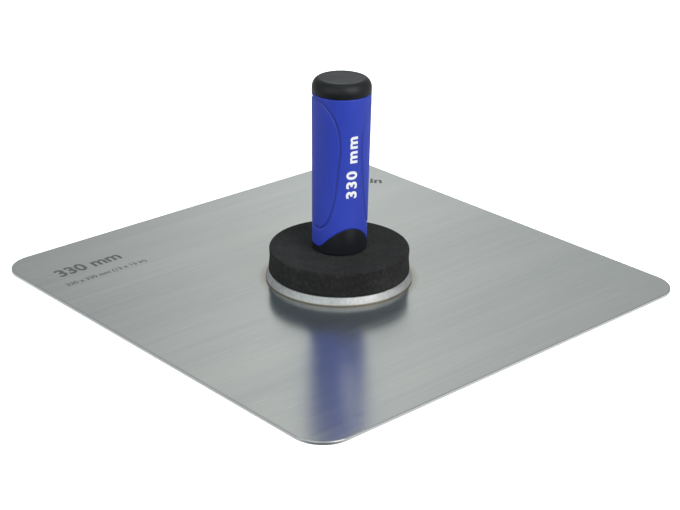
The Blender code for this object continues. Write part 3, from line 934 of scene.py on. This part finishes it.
def wrap_on_handle(mesh, centre_height):
    """Cut flat lettering into small faces and bend it round the grip, reading up it."""
    bm = bmesh.new()
    bm.from_mesh(mesh)
    bmesh.ops.triangulate(bm, faces=bm.faces)
    bmesh.ops.remove_doubles(bm, verts=bm.verts, dist=1e-7)
    for _ in range(3):
        long_edges = [e for e in bm.edges if e.calc_length() > 0.0011]
        bmesh.ops.subdivide_edges(bm, edges=long_edges, cuts=1)
        bmesh.ops.triangulate(bm, faces=[f for f in bm.faces if len(f.verts) > 3])
    for vert in bm.verts:
        height = centre_height + vert.co.x
        radius = grip_radius(height - SEAT) + MARK_LIFT + vert.co.z
        angle = HANDLE_FRONT + MARK_TURN - vert.co.y / radius
        vert.co = (radius * math.cos(angle), radius * math.sin(angle), height)
    bmesh.ops.recalc_face_normals(bm, faces=bm.faces)
    bm.to_mesh(mesh)
    bm.free()
    return mesh


size_on_handle = wrap_on_handle(
    text_mesh("size_on_handle", "330 mm", 0.0100, 0.00035, 1.15, spacing=1.18), 0.0867)
piece("size_on_handle", size_on_handle, WHITE_PRINT, "handle", "grip_rubber")

for name, words, size, bold, x, y, turn in (
    ("size_on_plate_large", "330 mm", 0.0155, 0.00045, -0.1250, -0.1190, 90),
    ("size_on_plate_small", "330 x 330 mm (13 x 13 in)", 0.0060, 0.00014, -0.1065, -0.1165, 90),
    ("size_on_plate_corner", "13 in", 0.0140, 0.00040, -0.1205, 0.1375, 45),
):
    flat = text_mesh(name, words, size, bold, thick=0.00002)
    turned = Matrix.Rotation(math.radians(turn), 4, "Z")
    flat.transform(Matrix.Translation((x, y, PLATE_TOP - MARK_SINK)) @ turned)
    piece(name, flat, ETCHED, "plate", "plate_brushed_metal")


# ---------------------------------------------------------------- stage, light and camera

FLOOR = -0.0004


def stage_white(name, glow, scale):
    """A pale material with a glow of its own, so that the stage is evenly white."""
    look = Look(name, Roughness=0.9, Specular_IOR_Level=0.0, Emission_Strength=glow,
                Emission_Color=(1.0, 1.0, 1.0, 1.0))
    tone = look.ramp(look.noise((scale,) * 3, detail=2.0), (0.0, (0.88,) * 3), (1.0, (0.92,) * 3))
    return look.set(Base_Color=tone)


def floor():
    """The floor takes the object's shadow but doesn't light it or show in the metal."""
    bm = bmesh.new()
    bmesh.ops.create_grid(bm, x_segments=1, y_segments=1, size=6.0)
    bmesh.ops.translate(bm, verts=bm.verts, vec=(0, 0, FLOOR))
    mesh = bpy.data.meshes.new("floor")
    bm.to_mesh(mesh)
    bm.free()
    mesh.materials.append(stage_white("floor_white", 0.75, 3.0))
    obj = add_object("floor", mesh)
    obj.visible_diffuse = obj.visible_glossy = False


def backdrop():
    """A pale wall all round, seen only by the camera, so that a low view has no horizon."""
    curve = [(5.0 + math.sin(a), 1.0 - math.cos(a) + FLOOR) for a in np.linspace(0, math.pi / 2, 12)]
    mesh = lathe("backdrop", [*curve, (6.0, 7.0)], 96, closed=False)
    mesh.materials.append(stage_white("backdrop_white", 1.0, 1.0))
    obj = add_object("backdrop", mesh)
    obj.visible_diffuse = obj.visible_glossy = obj.visible_shadow = False


def area_light(name, place, aim, width, height, power, color):
    """A rectangular light that looks at a point and isn't seen by the camera."""
    data = bpy.data.lights.new(name, "AREA")
    data.shape = "RECTANGLE"
    data.size, data.size_y = width, height
    data.energy = power
    data.color = color
    obj = add_object(name, data)
    obj.location = place
    obj.rotation_mode = "QUATERNION"
    obj.rotation_quaternion = (Vector(aim) - Vector(place)).to_track_quat("-Z", "Y")
    obj.visible_camera = False


BEHIND = math.radians(47.2)   # azimuth of the photo's camera; the glow is straight behind the object

# Brightness of the wall by azimuth from straight behind, in degrees, positive to the right.
GLOW = (
    (-180.0, 0.19), (-90.0, 0.15), (-50.0, 0.09), (-25.0, 0.06), (-16.0, 0.11), (-11.0, 0.18),
    (-9.0, 0.27), (-7.0, 0.39), (-4.5, 0.52), (-0.5, 0.67), (3.5, 0.56), (5.5, 0.45), (9.0, 0.36),
    (14.0, 0.24), (20.0, 0.12), (30.0, 0.06), (55.0, 0.09), (90.0, 0.16), (180.0, 0.19),
)
GLOW_SPAN = 180.0
COOL_FROM = -5.0              # from this azimuth to the right the wall has a little less red
COOL_RED = 0.955
DARK_GROUND = (110, 135)      # degrees from straight behind over which the ground turns dark


def world():
    """A soft white room: a glow on the wall behind, a white floor, and a dark front low down."""
    made = bpy.data.worlds.new("studio")
    bpy.context.scene.world = made
    made.use_nodes = True
    tree = made.node_tree
    coords = tree.nodes.new("ShaderNodeTexCoord").outputs["Generated"]

    def node(kind, *values, **settings):
        new = tree.nodes.new(kind)
        for key, value in settings.items():
            setattr(new, key, value)
        for socket, value in values:
            if isinstance(value, bpy.types.NodeSocket):
                tree.links.new(value, new.inputs[socket])
            else:
                new.inputs[socket].default_value = value
        return new

    def ramp(value, stops):
        new = node("ShaderNodeValToRGB", ("Fac", value))
        elements = new.color_ramp.elements
        while len(elements) < len(stops):
            elements.new(0.5)
        for element, (place, color) in zip(elements, stops):
            element.position = place
            element.color = (*color, 1.0)
        return new.outputs["Color"]

    def along(direction):
        new = node("ShaderNodeVectorMath", (0, coords), (1, direction), operation="DOT_PRODUCT")
        return new.outputs["Value"]

    def eased(value, start, end, low, high):
        new = node("ShaderNodeMapRange", ("Value", value), ("From Min", start), ("From Max", end),
                   ("To Min", low), ("To Max", high), interpolation_type="SMOOTHSTEP")
        return new.outputs["Result"]

    def mix(kind, factor, first, second):
        new = node("ShaderNodeMix", (0, factor), (6, first), (7, second),
                   data_type="RGBA", blend_type=kind)
        return new.outputs[2]

    height = node("ShaderNodeSeparateXYZ", (0, coords)).outputs["Z"]
    sky = ramp(height, (
        (0.0, (0.36, 0.36, 0.35)), (0.50, (0.355, 0.370, 0.370)), (1.0, (0.48, 0.52, 0.55)),
    ))
    behind = along((-math.sin(BEHIND), math.cos(BEHIND), 0.0))
    right = along((math.cos(BEHIND), math.sin(BEHIND), 0.0))
    azimuth = node("ShaderNodeMath", (0, right), (1, behind), operation="ARCTAN2").outputs[0]
    span = math.radians(GLOW_SPAN)
    place = node("ShaderNodeMapRange", ("Value", azimuth), ("From Min", -span), ("From Max", span))
    stops = []
    for degrees, value in GLOW:
        red = value * (1.0 if degrees < COOL_FROM else COOL_RED)
        stops.append(((degrees / GLOW_SPAN + 1) / 2, (red, value, value)))
    glow = ramp(place.outputs["Result"], stops)
    above = eased(height, math.sin(math.radians(36)), math.sin(math.radians(60)), 1.0, 0.0)
    wall = mix("ADD", 1.0, sky, mix("MULTIPLY", 1.0, glow, above))
    turned_away = node("ShaderNodeMath", (0, azimuth), operation="ABSOLUTE").outputs[0]
    front = eased(turned_away, *(math.radians(x) for x in DARK_GROUND), 0.0, 1.0)
    ground = mix("MIX", front, (0.66, 0.67, 0.68, 1.0), (0.02, 0.025, 0.05, 1.0))
    lower = eased(height, -0.10, -0.02, 1.0, 0.0)
    tree.links.new(mix("MIX", lower, wall, ground), tree.nodes["Background"].inputs["Color"])


CAMERA_TURNS = (47.1845, 23.5741, 0.9073)     # azimuth, elevation and roll in degrees
CAMERA_AIM = (0.00054, 0.01582)               # aim, to the right of and above the origin
CAMERA_DISTANCE = 1.08847


def camera():
    """The photo's camera, solved from the plate's four straight edges."""
    azimuth, elevation, roll = (math.radians(x) for x in CAMERA_TURNS)
    back = Vector((math.sin(azimuth) * math.cos(elevation), -math.cos(azimuth) * math.cos(elevation),
                   math.sin(elevation)))
    level = Vector((math.cos(azimuth), math.sin(azimuth), 0.0))
    upright = back.cross(level)
    aim = level * CAMERA_AIM[0] + upright * CAMERA_AIM[1]
    right = level * math.cos(roll) + upright * math.sin(roll)
    up = upright * math.cos(roll) - level * math.sin(roll)
    data = bpy.data.cameras.new("camera")
    data.sensor_width, data.lens = 36.0, 84.5
    data.clip_start, data.clip_end = 0.01, 50.0
    obj = add_object("camera", data)
    turned = Matrix((right, up, back)).transposed().to_4x4()
    obj.matrix_world = Matrix.Translation(aim + back * CAMERA_DISTANCE) @ turned
    bpy.context.scene.camera = obj


floor()
backdrop()
world()
area_light("key", (1.25, 0.05, 0.90), (0.0, 0.0, 0.06), 0.9, 1.2, 18.5, (1.0, 0.99, 0.97))
area_light("top", (0.1, -0.1, 1.7), (0.0, 0.0, 0.0), 1.2, 1.2, 4.5, (0.90, 0.97, 1.0))
area_light("fill", (0.2, -1.5, 0.7), (0.0, 0.0, 0.04), 1.9, 1.3, 10.6, (0.90, 0.97, 1.0))
camera()
bpy.context.scene.view_settings.view_transform = "Standard"
bpy.context.scene.view_settings.look = "None"
